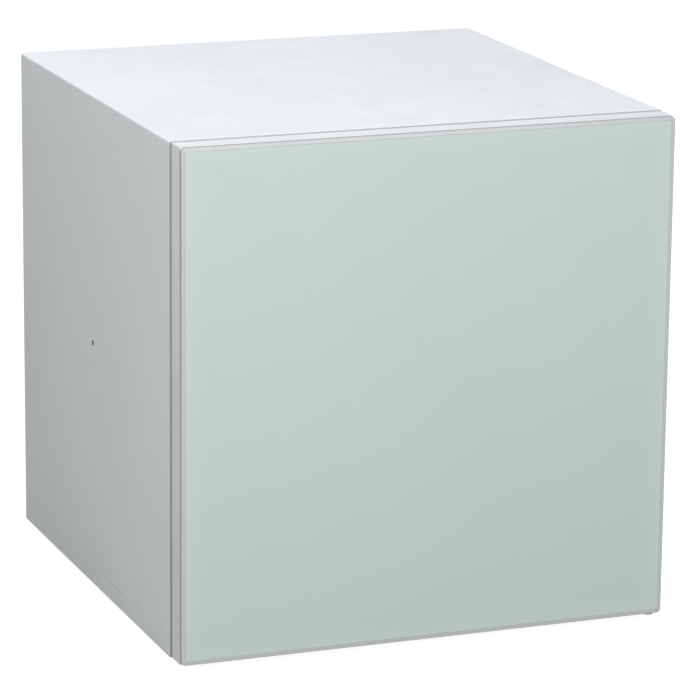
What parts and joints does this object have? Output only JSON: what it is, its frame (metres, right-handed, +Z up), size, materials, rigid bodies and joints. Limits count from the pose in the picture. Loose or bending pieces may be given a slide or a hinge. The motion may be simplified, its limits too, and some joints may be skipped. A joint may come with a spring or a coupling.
{
  "type": "mini fridge",
  "caption": "Cube-shaped mini fridge: white steel cabinet, flush glass-faced door hinged on the right, ice box, sliding shelves, drip tray, door racks and rear compressor with wire condenser.",
  "frame": {"origin": "on the floor under the middle of the fridge's bounding box", "axes": "+X to the right as seen from the front, the door faces -Y, +Z up"},
  "size_m": [0.5, 0.515, 0.51],
  "materials": {
    "white_enamel": "satin",
    "zinc_steel": "satin",
    "bright_steel": "polished",
    "black_enamel": "satin",
    "liner_white": "gloss",
    "trim_white": "satin",
    "pale_green_glass": "gloss",
    "clear_glass": "gloss",
    "clear_plastic": "gloss",
    "grey_rubber": "matte",
    "black_rubber": "matte",
    "foam": "matte",
    "aluminium": "satin",
    "copper": "satin",
    "black_plastic": "satin",
    "acetal": "satin"
  },
  "bodies": {
    "cabinet": {"top_panel": "white_enamel", "side_panels": "white_enamel", "base_tray": "white_enamel", "front_rail": "white_enamel", "side_inserts": "zinc_steel", "back_panel": "zinc_steel", "compartment_wall": "zinc_steel", "compressor_rail": "zinc_steel", "inner_liner": "liner_white", "insulation_foam": "foam", "ice_box": "aluminium", "ice_box_frame": "trim_white", "ice_box_spacers": "acetal", "ice_box_screws": "bright_steel", "tray_runners": "trim_white", "thermostat_housing": "trim_white", "thermostat_switch": "black_plastic", "hinge_upper_plate": "zinc_steel", "hinge_upper_screws": "bright_steel", "hinge_upper_pin": "bright_steel", "hinge_lower_plate": "zinc_steel", "hinge_lower_screws": "bright_steel", "hinge_lower_pin": "bright_steel", "hinge_washer": "acetal", "foot_nuts": "zinc_steel", "rear_feet": "black_rubber", "compressor": "black_enamel", "compressor_motor": "zinc_steel", "compressor_grommets": "black_rubber", "compressor_bolts": "zinc_steel", "terminal_box": "black_plastic", "suction_pipe": "copper", "discharge_pipe": "copper", "condenser_tube": "black_enamel", "condenser_wires": "black_enamel", "condenser_clips": "black_plastic", "condenser_screws": "zinc_steel", "filter_drier": "copper", "capillary_tube": "copper", "cord_gland": "black_plastic", "mains_lead": "black_rubber"},
    "door": {"door_glass": "pale_green_glass", "door_shell": "trim_white", "door_foam": "foam", "door_liner": "liner_white", "door_gasket": "grey_rubber", "door_rack_upper": "clear_plastic", "door_rack_lower": "clear_plastic", "hinge_bush_upper": "acetal", "hinge_bush_lower": "acetal"},
    "ice_flap": {"ice_flap": "clear_plastic"},
    "drip_tray": {"drip_tray": "clear_plastic"},
    "shelf_upper": {"shelf_upper_glass": "clear_glass", "shelf_upper_trim": "trim_white"},
    "shelf_lower": {"shelf_lower_glass": "clear_glass", "shelf_lower_trim": "trim_white"},
    "thermostat_dial": {"thermostat_dial": "trim_white", "thermostat_shaft": "bright_steel"},
    "foot_left": {"front_foot_left": "black_plastic"},
    "foot_right": {"front_foot_right": "black_plastic"}
  },
  "joints": [
    {"name": "door_hinge", "type": "hinge", "parent": "cabinet", "child": "door", "pos_m": [0.241, -0.2435, 0.26], "axis": [0, 0, 1], "range_deg": [0, 110]},
    {"name": "ice_flap_hinge", "type": "hinge", "parent": "cabinet", "child": "ice_flap", "pos_m": [-0.046, -0.112, 0.459], "axis": [-1, 0, 0], "range_deg": [0, 90]},
    {"name": "drip_tray_slide", "type": "slide", "parent": "cabinet", "child": "drip_tray", "axis": [0, -1, 0], "range_m": [0, 0.09]},
    {"name": "shelf_upper_slide", "type": "slide", "parent": "cabinet", "child": "shelf_upper", "axis": [0, -1, 0], "range_m": [0, 0.1]},
    {"name": "shelf_lower_slide", "type": "slide", "parent": "cabinet", "child": "shelf_lower", "axis": [0, -1, 0], "range_m": [0, 0.1]},
    {"name": "thermostat_turn", "type": "hinge", "parent": "cabinet", "child": "thermostat_dial", "pos_m": [0.172, -0.16, 0.43], "axis": [0, -1, 0], "range_deg": [-280, 0]},
    {"name": "foot_left_travel", "type": "slide", "parent": "cabinet", "child": "foot_left", "axis": [0, 0, -1], "range_m": [0, 0.008]},
    {"name": "foot_right_travel", "type": "slide", "parent": "cabinet", "child": "foot_right", "axis": [0, 0, -1], "range_m": [0, 0.008]}
  ]
}
